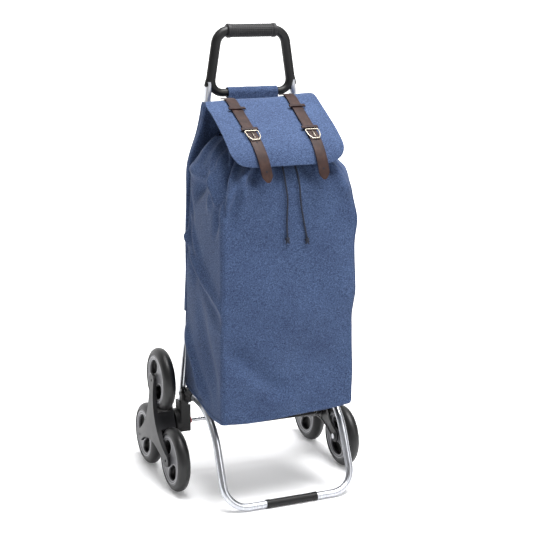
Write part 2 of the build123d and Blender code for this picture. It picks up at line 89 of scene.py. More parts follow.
def bell(x, centre, width):
    """1 at the centre, falling to nothing a width away, as a Gaussian."""
    return np.exp(-(((x - centre) / width) ** 2))


def ease(x, start, end):
    """0 before start, 1 after end, smooth between."""
    t = np.clip((x - start) / (end - start), 0, 1)
    return t * t * (3 - 2 * t)


def unit(vectors):
    """Vectors divided by their lengths."""
    return vectors / np.linalg.norm(vectors, axis=-1, keepdims=True)


def round_angles(count):
    """Evenly spaced angles once round, without the last, which is the first again."""
    return np.linspace(0, 2 * np.pi, count, endpoint=False)


def grid_of(*parts):
    """X, Y and Z arrays, spread over each other, as one grid of points."""
    return np.stack(np.broadcast_arrays(*parts), -1)


def squarish(wave, power):
    """A sine or cosine with its shoulders filled out, so that a circle becomes a rounded square."""
    return np.sign(wave) * np.abs(wave) ** power


def placed(name, data):
    """A new object at the origin, in the scene."""
    piece = bpy.data.objects.new(name, data)
    bpy.context.scene.collection.objects.link(piece)
    return piece


def add_mesh(name, grid, around=False, along=False, caps=False, uv=None):
    """A piece from a grid of points, rows by columns by xyz in millimetres. around joins the last
    column to the first, along the last row to the first, and caps closes both end rows."""
    rows, columns, _ = grid.shape
    index = np.arange(rows * columns).reshape(rows, columns)
    if around:
        index = np.concatenate([index, index[:, :1]], 1)
    if along:
        index = np.concatenate([index, index[:1]], 0)
    quads = np.stack([index[:-1, :-1], index[:-1, 1:], index[1:, 1:], index[1:, :-1]], -1).reshape(-1, 4)
    faces = quads.tolist()
    if caps:
        faces += [index[0, :columns][::-1].tolist(), index[-1, :columns].tolist()]
    mesh = bpy.data.meshes.new(name)
    mesh.from_pydata(shifted(grid.reshape(-1, 3)), [], faces)
    layer = mesh.uv_layers.new(name="surface")
    if uv is not None:
        loops = np.zeros(len(mesh.loops), np.int32)
        mesh.loops.foreach_get("vertex_index", loops)
        layer.data.foreach_set("uv", uv.reshape(-1, 2)[loops].astype(np.float32).ravel())
    mesh.polygons.foreach_set("use_smooth", np.ones(len(mesh.polygons), bool))
    mesh.update()
    return placed(name, mesh)


def frames_along(line):
    """Two directions square to a line at each of its points."""
    tangent = unit(np.gradient(line, axis=0))
    side = unit(np.cross(tangent, np.array([1.0, 0.0, 0.02])))
    return side, np.cross(tangent, side)


def tube(name, line, radius, turns=24, caps=True):
    """Circles of the given radius, one number or one for each point, carried along a line."""
    side, other = frames_along(line)
    angle = round_angles(turns)
    radius = np.broadcast_to(radius, len(line))[:, None, None]
    ring = np.cos(angle)[None, :, None] * side[:, None] + np.sin(angle)[None, :, None] * other[:, None]
    return add_mesh(name, line[:, None] + ring * radius, around=True, caps=caps)


def outwards(piece):
    """Turns a closed piece's faces to point out of it."""
    work = bmesh.new()
    work.from_mesh(piece.data)
    bmesh.ops.recalc_face_normals(work, faces=work.faces)
    work.to_mesh(piece.data)
    work.free()
    return piece


def thicken(piece, thickness, offset=-1.0):
    wall = piece.modifiers.new("wall", "SOLIDIFY")
    wall.thickness = thickness * MM
    wall.offset = offset
    wall.use_even_offset = True
    return piece


def soften(piece, width, segments=2):
    bevel = piece.modifiers.new("edge", "BEVEL")
    bevel.width = width * MM
    bevel.segments = segments
    bevel.limit_method = "ANGLE"
    bevel.angle_limit = np.radians(40)
    return piece


def finish_piece(piece, body, material, replaced=()):
    """Gives a piece its finish, its body and the CAD nodes that it stands for."""
    piece.data.materials.clear()
    piece.data.materials.append(material)
    if replaced:
        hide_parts(*replaced)
    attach(piece, body)
    return piece


def cloth_piece(piece, *replaced):
    """A piece of the bag's own cloth, which stays with the frame."""
    return finish_piece(piece, "frame", FINISH["cloth"], replaced)


# ---- finishes ----
def linear(hex_colour):
    """An sRGB hex colour as linear red, green, blue and alpha."""
    parts = np.array([int(hex_colour[i:i + 2], 16) for i in (1, 3, 5)]) / 255
    low_part, high_part = parts / 12.92, ((parts + 0.055) / 1.055) ** 2.4
    return (*np.where(parts <= 0.04045, low_part, high_part), 1.0)


def add_node(tree, kind, settings=None, values=None, links=None, stops=(), into=None):
    """One node with its settings, its sockets' values, its incoming links, a colour ramp's stops as
    places and hex colours, and the node and socket that its first output goes into."""
    node = tree.nodes.new(kind)
    for name, value in (settings or {}).items():
        setattr(node, name, value)
    for name, value in (values or {}).items():
        node.inputs[name].default_value = value
    for name, socket in (links or {}).items():
        tree.links.new(socket, node.inputs[name])
    for _ in stops[2:]:
        node.color_ramp.elements.new(0.5)
    for element, (place, colour) in zip(node.color_ramp.elements if stops else (), stops):
        element.position = place
        element.color = linear(colour)
    if into:
        tree.links.new(node.outputs[0], into[0].inputs[into[1]])
    return node.outputs[0]


def new_material(name, roughness, **values):
    """A material, add_node for its tree, its shader with its constant values, and Object coordinates."""
    material = bpy.data.materials.new(name)
    material.use_nodes = True
    tree = material.node_tree
    shader = tree.nodes["Principled BSDF"]
    for socket, value in {"Roughness": roughness, **values}.items():
        shader.inputs[socket.replace("_", " ")].default_value = value
    return material, partial(add_node, tree), shader, tree.nodes.new("ShaderNodeTexCoord").outputs["Object"]


def heathered_cloth(name, dark, mid, light):
    """Heathered 600-denier polyester, plain woven. Threads are about 0.5 mm, drawn at 1.4 mm so that
    they show, and the melange of dark and pale yarns gives the denim-like speckle."""
    material, add, shader, place = new_material(
        name, 0.86, IOR=1.45, Specular_IOR_Level=0.25, Sheen_Weight=0.03, Sheen_Roughness=0.5)
    yarns = []
    for scale in ((900, 900, 300), (300, 300, 900)):
        along = add("ShaderNodeMapping", values={"Scale": scale}, links={"Vector": place})
        yarns.append(add("ShaderNodeTexNoise", values={"Scale": 1.0, "Detail": 2.0, "Roughness": 0.6},
                         links={"Vector": along}))
    speckle = add("ShaderNodeMath", {"operation": "ADD"}, links={0: yarns[0], 1: yarns[1]})
    halved = add("ShaderNodeMath", {"operation": "MULTIPLY"}, {1: 0.5}, {0: speckle})
    yarn_colour = add("ShaderNodeValToRGB", links={"Fac": halved},
                      stops=[(0.36, dark), (0.5, mid), (0.64, light)])
    drift = add("ShaderNodeTexNoise", values={"Scale": 14.0, "Detail": 3.0}, links={"Vector": place})
    tone = add("ShaderNodeValToRGB", links={"Fac": drift}, stops=[(0.3, "#e6e6ea"), (0.7, "#ffffff")])
    blend = add("ShaderNodeMix", {"data_type": "RGBA", "blend_type": "MULTIPLY"}, {0: 1.0},
                {6: yarn_colour, 7: tone}).node
    blend.id_data.links.new(blend.outputs[2], shader.inputs["Base Color"])
    add("ShaderNodeBump", values={"Strength": 0.55, "Distance": 0.5 * MM}, links={"Height": halved},
        into=(shader, "Normal"))
    return material


def anodised_aluminium():
    """Drawn aluminium tube, satin anodised: bright, with faint lines along the draw, 1 mm apart."""
    material, add, shader, place = new_material("anodised_aluminium", 0.3, Metallic=1.0)
    drawn = add("ShaderNodeMapping", values={"Scale": (900, 120, 14)}, links={"Vector": place})
    lines = add("ShaderNodeTexNoise", values={"Scale": 1.0, "Detail": 2.0}, links={"Vector": drawn})
    add("ShaderNodeValToRGB", links={"Fac": lines}, stops=[(0.3, "#a9abb1"), (0.7, "#cbcdd2")],
        into=(shader, "Base Color"))
    add("ShaderNodeMapRange", values={"To Min": 0.22, "To Max": 0.38}, links={"Value": lines},
        into=(shader, "Roughness"))
    return material


def moulded_plastic(name, colour, roughness, grain=0.9, depth=0.05):
    """Injection-moulded nylon or polypropylene with a fine spark-eroded grain, drawn at the given
    width in millimetres, and slight uneven gloss where it has been handled."""
    material, add, shader, place = new_material(
        name, roughness, Specular_IOR_Level=0.3, Base_Color=linear(colour))
    texture = add("ShaderNodeTexNoise", values={"Scale": 1000 / grain, "Detail": 2.0},
                  links={"Vector": place})
    smear = add("ShaderNodeTexNoise", values={"Scale": 30.0, "Detail": 3.0}, links={"Vector": place})
    add("ShaderNodeMapRange", values={"To Min": roughness - 0.07, "To Max": roughness + 0.08},
        links={"Value": smear}, into=(shader, "Roughness"))
    add("ShaderNodeBump", values={"Strength": 0.5, "Distance": depth * MM}, links={"Height": texture},
        into=(shader, "Normal"))
    return material


def rim_plastic():
    """Grey moulded rim: satin faces, paler on the beads round its edge and its openings, and black inside
    the openings as painted shade of the hollow rim behind them.
    The first UV value is 0 inside, 0.5 on a face and 1 on a bead."""
    material, add, shader, place = new_material("moulded_rim", 0.4, Specular_IOR_Level=0.35)
    height = add("ShaderNodeSeparateXYZ", links={"Vector": place.node.outputs["UV"]})
    # UV 0 is painted shade: black where the hollow rim would be seen through its openings.
    add("ShaderNodeValToRGB", links={"Fac": height}, into=(shader, "Base Color"),
        stops=[(0.2, "#040404"), (0.45, "#5e5e61"), (0.6, "#646467"), (0.95, "#a2a2a5")])
    grain = add("ShaderNodeTexNoise", values={"Scale": 1100.0, "Detail": 2.0}, links={"Vector": place})
    add("ShaderNodeBump", values={"Strength": 0.5, "Distance": 0.04 * MM}, links={"Height": grain},
        into=(shader, "Normal"))
    return material


def tyre_rubber():
    """Solid vulcanised rubber tyre: near black with a dusty satin sheen."""
    material, add, shader, place = new_material("tyre_rubber", 0.42, IOR=1.52, Specular_IOR_Level=0.4)
    dust = add("ShaderNodeTexNoise", values={"Scale": 60.0, "Detail": 5.0}, links={"Vector": place})
    add("ShaderNodeValToRGB", links={"Fac": dust}, stops=[(0.35, "#0b0b0c"), (0.75, "#141415")],
        into=(shader, "Base Color"))
    add("ShaderNodeMapRange", values={"To Min": 0.34, "To Max": 0.55}, links={"Value": dust},
        into=(shader, "Roughness"))
    return material


def grip_rubber():
    """Soft black moulded rubber, matt and faintly dusty."""
    material, add, shader, place = new_material("grip_rubber", 0.55, IOR=1.5, Specular_IOR_Level=0.3)
    dust = add("ShaderNodeTexNoise", values={"Scale": 300.0, "Detail": 3.0}, links={"Vector": place})
    add("ShaderNodeValToRGB", links={"Fac": dust}, stops=[(0.3, "#0c0b0d"), (0.7, "#151416")],
        into=(shader, "Base Color"))
    return material


def bright_metal(name, colour, roughness):
    """Plated or polished steel: bright, with faint rub marks."""
    material, add, shader, place = new_material(name, roughness, Metallic=1.0, Base_Color=linear(colour))
    rubs = add("ShaderNodeTexNoise", values={"Scale": 400.0, "Detail": 3.0}, links={"Vector": place})
    add("ShaderNodeMapRange", values={"To Min": roughness - 0.08, "To Max": roughness + 0.12},
        links={"Value": rubs}, into=(shader, "Roughness"))
    return material


def coated_leather(name, dark, mid, worn):
    """Brown coated leather: a pebble grain about 1.5 mm across, paler in uneven patches."""
    material, add, shader, place = new_material(name, 0.55, IOR=1.45, Specular_IOR_Level=0.25)
    grain = add("ShaderNodeTexVoronoi", {"feature": "DISTANCE_TO_EDGE"}, {"Scale": 650.0},
                {"Vector": place})
    wear = add("ShaderNodeTexNoise", values={"Scale": 70.0, "Detail": 4.0}, links={"Vector": place})
    add("ShaderNodeValToRGB", links={"Fac": wear}, stops=[(0.3, dark), (0.55, mid), (0.8, worn)],
        into=(shader, "Base Color"))
    add("ShaderNodeBump", values={"Strength": 0.6, "Distance": 0.12 * MM}, links={"Height": grain},
        into=(shader, "Normal"))
    return material


def braided_cord():
    """Navy polyester cord, its braid running round it every 2 mm."""
    material, add, shader, place = new_material("braided_cord", 0.8, IOR=1.45)
    braid = add("ShaderNodeTexWave", {"wave_type": "BANDS", "bands_direction": "DIAGONAL"},
                {"Scale": 160.0, "Distortion": 1.0}, {"Vector": place})
    add("ShaderNodeValToRGB", links={"Fac": braid}, stops=[(0.2, "#0d121f"), (0.8, "#1a2235")],
        into=(shader, "Base Color"))
    add("ShaderNodeBump", values={"Strength": 0.6, "Distance": 0.3 * MM},
        links={"Height": braid.node.outputs["Fac"]}, into=(shader, "Normal"))
    return material


FINISH = {
    "cloth": heathered_cloth("bag_polyester", "#202c43", "#344463", "#4f6181"),
    # Painted shade: a dark plastic for the discs that stand for the strap holes.
    "hole_shade": moulded_plastic("painted_hole_shade", "#10131c", 0.8, 1.2),
    "aluminium": anodised_aluminium(),
    "black_plastic": moulded_plastic("black_polypropylene", "#0b0b0c", 0.42),
    "carrier": moulded_plastic("glass_filled_nylon", "#1a1a1c", 0.4),
    "rim": rim_plastic(),
    "tyre": tyre_rubber(),
    "grip": grip_rubber(),
    "steel": bright_metal("polished_steel", "#c8c9cc", 0.2),
    "black_steel": moulded_plastic("painted_steel_rod", "#121213", 0.35, 0.6),
    "red": moulded_plastic("red_acetal", "#a3141b", 0.3),
    "leather": coated_leather("strap_leather", "#21110e", "#2c1a16", "#3a2822"),
    "keeper_leather": coated_leather("keeper_leather", "#1c0d0c", "#251210", "#331c19"),
    "nickel": bright_metal("nickel_plate", "#a39c8f", 0.3),
    "cord": braided_cord(),
}

# ---- places, and the bag's cloth ----
UPRIGHT = ((142.0, 157.0, 2.4), (878.0, 95.7, -26.6))    # height, X and Y at each end
BACK_OFFSET = 12.4                                        # upright's middle to the panel's rear
HANDLE_Y, GRIP_Z, LOWER_BAR_Z = -27.0, 983.5, 854.0       # the handle loop's plane and its two bars
MOUTH_Z = 772.0                                           # the bag's drawn-in mouth
WALL_ROWS = np.array([   # height, half width, front Y, distance before the back panel, corner radius
    (180, 150.5, -238.5, 2.5, 9), (206, 151.0, -239.0, 2.5, 10), (300, 151.0, -239.5, 2.5, 11),
    (500, 151.0, -239.5, 2.5, 12), (600, 150.5, -239.5, 3.0, 16), (645, 149.5, -239.5, 4.0, 22),
    (680, 144.0, -239.0, 6.0, 30), (705, 137.5, -232.0, 10.0, 38), (728, 124.0, -218.0, 14.0, 44),
    (748, 104.0, -196.0, 18.0, 46), (764, 82.0, -174.0, 22.0, 42), (772, 70.0, -160.0, 26.0, 38),
])
HEM = np.array([         # distance round the bag from its front left corner, and the hem's height
    (-225, 211), (-190, 210), (-160, 204), (-125, 197), (-90, 189), (-60, 185), (-30, 187), (0, 191),
    (16, 189), (40, 187), (72, 185.5), (110, 188), (150, 191), (200, 193.5), (255, 195.5), (285, 199),
    (300, 203), (325, 207), (380, 209), (525, 209), (640, 209), (825, 209),
])
FOLDS = [                # from and to, as distance round the bag and height, then width and depth
    ((-205, 560), (-60, 452), 15, 6.0), ((-190, 600), (-120, 528), 8, 4.5),
    ((-195, 640), (-150, 470), 16, -5.0), ((-180, 335), (-85, 225), 22, 4.0),
    ((-120, 420), (-40, 250), 26, -4.5), ((-185, 705), (-100, 690), 14, 7.0),
    ((-100, 700), (-20, 775), 13, 8.0), ((-150, 650), (-60, 735), 15, -7.0),
    ((-75, 640), (-50, 740), 12, 5.0), ((-35, 600), (-14, 745), 11, -7.0),
    ((8, 650), (50, 735), 11, 6.0), ((24, 612), (34, 745), 10, -5.5), ((30, 690), (58, 760), 8, 5.0),
    ((62, 690), (78, 760), 8, -4.5), ((95, 695), (104, 765), 9, 4.0), ((120, 700), (126, 765), 8, -3.5),
    ((166, 690), (160, 765), 9, 3.5), ((196, 700), (186, 765), 8, -3.5),
    ((232, 700), (216, 765), 8, 4.0), ((258, 702), (238, 738), 8, -6.0),
    ((280, 660), (262, 730), 13, 5.0), ((18, 357), (132, 250), 24, -4.0),
    ((40, 300), (150, 215), 28, 3.5), ((60, 480), (210, 400), 60, 3.0),
    ((150, 330), (280, 300), 50, -3.0), ((225, 560), (285, 420), 40, 3.0),
    ((300, 620), (380, 500), 24, 5.0), ((-196, 552), (-8, 438), 11, 4.5),
    ((-190, 530), (-20, 408), 16, -4.0), ((-193, 345), (-104, 232), 13, 4.5),
    ((-170, 330), (-70, 226), 16, -3.5), ((18, 358), (126, 252), 20, -4.5),
    ((-120, 790), (-30, 640), 10, 6.0), ((-60, 780), (2, 640), 9, -6.0), ((20, 770), (46, 660), 9, 5.0),
    ((320, 420), (420, 280), 28, -5.0), ((340, 700), (460, 740), 16, 6.0),
    ((420, 650), (360, 540), 20, -4.0),
]
PANEL = np.array([-207.0, 0.0, 300.0, 507.0, 807.0])     # the corners, as distance round the bag


def upright_at(z):
    """X and Y of an upright's middle at height z, on a straight line between its two ends."""
    share = (z - UPRIGHT[0][0]) / (UPRIGHT[1][0] - UPRIGHT[0][0])
    return (UPRIGHT[0][1] + share * (UPRIGHT[1][1] - UPRIGHT[0][1]),
            UPRIGHT[0][2] + share * (UPRIGHT[1][2] - UPRIGHT[0][2]))


def fold_relief(s, z):
    """Sum of soft ridges and valleys: each is a bell across a straight line and eases out at its ends."""
    relief = np.zeros(np.broadcast(s, z).shape)
    for (s0, z0), (s1, z1), width, depth in FOLDS:
        run = np.array([s1 - s0, z1 - z0])
        length = np.hypot(*run)
        run = run / length
        along = (s - s0) * run[0] + (z - z0) * run[1]
        across = -(s - s0) * run[1] + (z - z0) * run[0]
        bend = 0.06 * width * np.sin(along / length * 5 + s0)
        relief += (depth * bell(across + bend, 0, width) * ease(along, -0.25 * length, 0.2 * length)
                   * (1 - ease(along, 0.8 * length, 1.25 * length)))
    return relief


def bag_wall(rows=190, columns=256):
    """Rounded rectangles stacked from the hem to the drawn-in mouth. Each point starts on a sharp
    rectangle, is pulled back to the corner's circle, and then moves along its outward direction by
    the folds, the gathers, which grow towards the mouth, and a long slack wave."""
    s = np.interp(np.linspace(0, 1, columns, endpoint=False), np.linspace(0, 1, 5), PANEL)
    corner = np.arange(5.0)
    turn = np.interp(s, PANEL, corner)
    square_x = np.interp(turn, corner, [-1, -1, 1, 1, -1])
    square_y = np.interp(turn, corner, [1, -1, -1, 1, 1])
    hem = np.interp(s, HEM[:, 0], HEM[:, 1])
    hem = np.convolve(np.concatenate([hem[-6:], hem, hem[:6]]), np.ones(13) / 13, "valid")
    share = np.linspace(0, 1, rows)[:, None]
    z = hem + (MOUTH_Z - hem) * share
    rear = ease(np.abs(s - 150), 185, 345)
    level = z - 26 * rear * ease(z, 620, 700)
    half, front, before, radius = [spline(WALL_ROWS[:, 0], WALL_ROWS[:, i], level) for i in (1, 2, 3, 4)]
    back = upright_at(z)[1] - BACK_OFFSET - before
    middle, depth = (front + back) / 2, (back - front) / 2
    x, y = square_x * half, square_y * depth
    core_x = np.clip(x, -(half - radius), half - radius)
    core_y = np.clip(y, -(depth - radius), depth - radius)
    out = unit(np.stack([x - core_x, y - core_y], -1))
    gather = ease(z, 655, 770)
    pleats = 3.6 * np.sin(s / 9.2 + 1.5 * np.sin(s / 47)) + 1.6 * np.sin(s / 5.1 + 0.6)
    slack = 1.6 * np.sin(s / 71 + z / 55) * np.sin(z / 83 + s / 140) + 1.0 * np.sin(z / 31 - s / 44)
    at_back = ease(s, 500, 520) * (1 - ease(s, 795, 807)) + (1 - ease(s, -206, -196))
    calm = (1 - at_back) * (1 - ease(z, MOUTH_Z - 3, MOUTH_Z) * 0.4)
    crown = 2.6 * np.sin(np.pi * np.clip((z - 200) / 440, 0, 1)) * (1 - np.abs(turn % 1 - 0.5) * 2)
    move = calm * (1.8 * fold_relief(s, z) + gather * pleats + slack * ease(z, 195, 260) + crown)
    x = core_x + out[..., 0] * (radius + move)
    y = middle + core_y + out[..., 1] * (radius + move)
    uv = grid_of(s / 1000, z / 1000)
    return np.stack([x, y, z], -1), uv, s


class BagSizes(bpy.types.PropertyGroup):
    cloth: bpy.props.FloatProperty(
        name="Cloth", description="Thickness of the bag's cloth in millimetres",
        default=1.2, min=0.4, max=3.0)


class TROLLEY_OT_bag(bpy.types.Operator):
    """The bag: one sewn wall from hem to gathered mouth, its floor and the binding round its hem."""
    bl_idname = "trolley.bag"
    bl_label = "Bag"

    def execute(self, context):
        grid, uv, s = bag_wall()
        wall = add_mesh("bag_wall", grid[::-1], around=True, uv=uv[::-1])
        thicken(outwards(wall), context.scene.trolley_bag.cloth)
        cloth_piece(wall, "bag_front", "bag_side_left", "bag_side_right", "bag_yoke")
        squash_bag(wall)

        ring = grid[8]
        centre = np.array([0, -130, 0])
        shares = np.linspace(0.995, 0.02, 26)[:, None, None]
        floor = centre + (ring - centre) * shares
        floor[..., 2] = 211.5 + 0.8 * np.sin(floor[..., 0] / 38) * np.cos(floor[..., 1] / 29)
        squash_bag(cloth_piece(outwards(add_mesh("bag_floor", floor, around=True, caps=True)), "bag_bottom"))

        for number, (corner, sign) in enumerate(((0, -1), (300, 1))):
            column = int(np.argmin(np.abs(s - corner)))
            line = grid[3:161:2, column] + np.array([sign * 0.3, -0.3, 0])
            squash_bag(cloth_piece(tube(f"corner_piping_{number}", line, 1.3, 10)))
        line = grid[2]
        normal = np.cross(unit(np.roll(line, -1, 0) - np.roll(line, 1, 0)), [0, 0, 1.0])
        angle = round_angles(10)[:, None, None]
        hem = line + normal * np.cos(angle) * 1.3 + np.array([0, 0, 1.0]) * np.sin(angle) * 3.2
        squash_bag(cloth_piece(outwards(add_mesh("hem_binding", hem, around=True, along=True))))
        return {"FINISHED"}


def squash_bag(piece):
    """Applies a piece's modifiers to its mesh and gives the piece a mesh of its own."""
    bpy.context.view_layer.update()
    if piece.modifiers:
        depsgraph = bpy.context.evaluated_depsgraph_get()
        piece.data = bpy.data.meshes.new_from_object(piece.evaluated_get(depsgraph))
        piece.modifiers.clear()
    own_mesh(piece)


class TROLLEY_OT_back(bpy.types.Operator):
    """The back panel with its two sleeves for the uprights and the hanger round the lower bar."""
    bl_idname = "trolley.back"
    bl_label = "Back panel"

    def execute(self, context):
        z = np.linspace(209, 640, 90)[:, None]
        u = np.linspace(-1, 1, 70)
        y = upright_at(z)[1] - BACK_OFFSET
        wave = 0.5 * np.sin(u * 9 + z / 60) * np.sin(z / 41)
        sides = [grid_of(u * 149.5, y + offset - np.abs(wave) * 0.6, z) for offset in (-0.2, -1.4)]
        squash_bag(cloth_piece(wrap_sheet("back_panel", *sides), "bag_back"))

        z = np.linspace(640, 836, 60)[:, None]
        half = spline([640, 690, 714, 745, 774, 805, 836], [149, 148, 146, 135, 124, 115, 106], z)
        y = upright_at(z)[1] - BACK_OFFSET
        wave = 1.8 * np.sin(u * 7 + z / 37) * ease(z, 650, 700) * (1 - ease(z, 800, 832))
        edge = -5.0 * ease(np.abs(u), 0.78, 1.0) * ease(z, 650, 720)
        sides = [grid_of(u * half, y + offset - np.abs(wave) + edge, z) for offset in (-0.2, -1.8)]
        cloth_piece(wrap_sheet("back_panel_top", *sides), "bag_back_top")

        rows = np.array([(378, 126, 146), (450, 121, 144.5), (640, 105, 144.5), (714, 98, 141.5),
                         (774, 94, 121), (835, 88, 109)], float)
        z = np.linspace(378, 835, 120)[:, None]
        inner, outer = (spline(rows[:, 0], rows[:, i], z) for i in (1, 2))
        angle = round_angles(72)
        for side, sign in SIDES.items():
            middle = upright_at(z)[1]
            ripple = (0.9 * np.sin(angle * 5 + z / 33) * np.sin(z / 57 + 1)
                      + 1.2 * bell(z, 826, 9) * np.sin(angle * 9))
            reach_x, reach_y = (outer - inner) / 2 + ripple, 12.0 + 0.4 * ripple
            cos, sin = np.cos(angle), np.sin(angle)
            x = (outer + inner) / 2 + squarish(cos, 0.6) * reach_x
            y = middle + 0.6 + squarish(sin, 0.6) * reach_y
            y = np.maximum(y, middle - 11.9)
            grid = grid_of(sign * x, y, z)
            sleeve = thicken(outwards(add_mesh(f"upright_sleeve_{side}", grid, around=True)), 1.0)
            cloth_piece(sleeve, f"bag_sleeve_{side}")

        u = np.linspace(-55, 59, 60)[:, None]
        angle = np.linspace(-2.4, 3.15, 60)
        reach = 10.9 + 0.25 * np.sin(u / 6 + angle * 2)
        y = HANDLE_Y + np.cos(angle) * reach
        z = LOWER_BAR_Z + np.sin(angle) * reach
        wrap = grid_of(u, y, z)
        tail_z = np.linspace(853, 836.5, 12)
        tail = grid_of(u, HANDLE_Y - 10.9, tail_z)
        sheet = np.concatenate([wrap, tail], 1)
        hanger = thicken(outwards(add_mesh("hanger", sheet)), 1.2, 0.0)
        soften(hanger, 0.4)
        cloth_piece(hanger, "bag_hanger")
        return {"FINISHED"}


def wrap_sheet(name, front, back):
    """A closed thin sheet: two skins side by side, turned into one loop of columns with closed ends."""
    loop = np.concatenate([front, back[:, ::-1]], 1)
    return outwards(add_mesh(name, loop, around=True, caps=True))


# ---- flap, straps and buckles ----
FLAP_PROFILE = np.array([(-43, 839.5), (-62, 843), (-85, 844.5), (-125, 828.5), (-165, 809), (-205, 786.5),
                         (-228, 770), (-243, 752), (-250, 738), (-253, 727)], float)


FLAP_WIDTH, FLAP_CORNER = 253.0, 46.0


def profile_at(t):
    """The flap's curve from its hinge, t 0, to its lower edge, t 1, by length along it."""
    lengths = np.concatenate([[0], np.cumsum(np.linalg.norm(np.diff(FLAP_PROFILE, axis=0), axis=1))])
    return spline(lengths / lengths[-1], FLAP_PROFILE, t), lengths[-1]


def corner_lift(x, share, end):
    """How far the raised right and lowered left rear corners carry a point up or down."""
    return (1 - ease(share, 0.0, end)) * (7.5 * ease(x, 20, 122) - 5.0 * ease(-x, 40, 122))


def flap_point(x, t):
    """A point of the flap: the curve moved to x, with the right rear corner lifted, the left one let
    down, and a slight dish between the straps."""
    curve, _ = profile_at(t)
    y, z = curve[..., 0], curve[..., 1]
    lift = corner_lift(x, t, 0.55)
    dish = (np.sin(x / 24 + t * 5) - 1.6 * bell(x, 0, 45)) * np.sin(np.pi * np.clip(t, 0, 1))
    droop = -3.0 * ease(np.abs(x), 95, 122) * ease(t, 0.3, 0.8)
    return grid_of(x, y + 0.3 * dish, z + lift + dish + droop)


def flap_across(u, t, length, inside=0.0):
    """X across the flap for u from -1 to 1: the half width less the round front corners, with the
    left edge drawn in towards the hinge."""
    inset = np.maximum(0, t * length - (length - FLAP_CORNER))
    half = FLAP_WIDTH / 2 - inside - (FLAP_CORNER - np.sqrt(np.maximum(FLAP_CORNER**2 - inset**2, 0)))
    return u * half - 6 + 15 * np.maximum(-u, 0) ** 2 * (1 - ease(t, 0.0, 0.3))


class TROLLEY_OT_flap(bpy.types.Operator):
    """The flap: a doubled sheet of cloth with round front corners and a line of stitches."""
    bl_idname = "trolley.flap"
    bl_label = "Flap"

    def execute(self, context):
        length = profile_at(np.array([0.0]))[1]
        t = np.linspace(0, 1, 90)[:, None]
        x = flap_across(np.linspace(-1, 1, 110), t, length)
        skin = flap_point(x, np.broadcast_to(t, x.shape))
        flap = thicken(add_mesh("flap_cloth", skin), 2.2, 0.0)
        soften(flap, 0.9, 3)
        finish_piece(flap, "flap_lid", FINISH["cloth"], ("flap",))

        path_t = np.linspace(0.1, 1 - 9 / length, 150)
        stitched = [np.stack([flap_across(float(sign), path_t, length, inside=6.0), path_t], 1)
                    for sign in SIDES.values()]
        turn_x = np.linspace(stitched[0][-1, 0], stitched[1][-1, 0], 60)[:, None]
        across = np.concatenate([turn_x, np.full_like(turn_x, path_t[-1])], 1)
        path = np.concatenate([stitched[0], across[1:-1], stitched[1][::-1]])
        line = flap_point(path[:, 0], path[:, 1]) + np.array([0, -0.6, 1.15])
        run = np.concatenate([[0], np.cumsum(np.linalg.norm(np.diff(line, axis=0), axis=1))])
        starts = np.arange(2, run[-1] - 5, 4.6)
        ends = np.stack([starts, starts + 2.9], 1)
        points = np.stack([np.interp(ends, run, line[:, i]) for i in range(3)], -1)
        stitch_rows("flap_stitches", points, "flap_lid")
        return {"FINISHED"}


def stitch_rows(name, points, body, radius=0.32):
    """Stitches as short threads: each pair of points becomes a spindle of four sides."""
    start, end = points[:, 0], points[:, 1]
    direction = unit(end - start)
    side = unit(np.cross(direction, [0.3, 0.2, 1.0]))
    other = np.cross(direction, side)
    angle = np.linspace(0, 2 * np.pi, 5)[:4]
    ring = np.cos(angle)[None, :, None] * side[:, None] + np.sin(angle)[None, :, None] * other[:, None]
    middle = (start + end)[:, None] / 2 + ring * radius
    vertices = np.concatenate([start[:, None], middle, end[:, None]], 1)
    around = np.arange(4)
    first = np.stack([np.zeros(4, int), 1 + around, 1 + (around + 1) % 4], 1)
    second = np.stack([np.full(4, 5), 1 + (around + 1) % 4, 1 + around], 1)
    faces = np.concatenate([first, second])
    faces = (faces[None] + 6 * np.arange(len(points))[:, None, None]).reshape(-1, 3)
    mesh = bpy.data.meshes.new(name)
    mesh.from_pydata(shifted(vertices.reshape(-1, 3)), [], faces.tolist())
    mesh.update()
    return finish_piece(outwards(placed(name, mesh)), body, FINISH["cord"])


# X at its top, at its buckle and at its point, then shares of its length: buckle, keepers
STRAPS = {
    "left": (-72.0, -73.0, -61.0, 0.62, (0.275, 0.548)), "right": (64.0, 59.0, 63.0, 0.633, (0.283, 0.556)),
}
STRAP_LINE = np.array([(-57, 845.6), (-70, 847.6), (-85, 847.8), (-125, 832.3), (-165, 812.8), (-205, 790.4),
                       (-229, 774), (-246.5, 754), (-255.5, 739), (-262, 722), (-268, 697)], float)


def strap_at(share, lift=0.0):
    """A point of the strap's middle line by its share of the length, its direction, and the way out."""
    lengths = np.concatenate([[0], np.cumsum(np.linalg.norm(np.diff(STRAP_LINE, axis=0), axis=1))])
    share = np.asarray(share, float)
    point = spline(lengths / lengths[-1], STRAP_LINE, share)
    ahead = spline(lengths / lengths[-1], STRAP_LINE, np.clip(share + 0.004, 0, 1))
    behind = spline(lengths / lengths[-1], STRAP_LINE, np.clip(share - 0.004, 0, 1))
    along = unit(ahead - behind)
    out = np.stack([along[..., 1], -along[..., 0]], -1)
    return point + out * lift, along, out, lengths[-1]


def laid_on(ends, share, across, along_mm, lift):
    """A point near a strap from millimetres across it, along it and out of it. The strap's middle
    goes through its top, buckle and point on a smooth curve."""
    share = np.asarray(share + along_mm / strap_at(0.0)[3])
    point, _, out, _ = strap_at(share)
    x = spline([0, 0.6, 1], ends, np.clip(share, 0, 1))
    y = point[..., 0] + out[..., 0] * lift
    z = point[..., 1] + out[..., 1] * lift + corner_lift(x, share, 0.5)
    return grid_of(x + across, y, z)


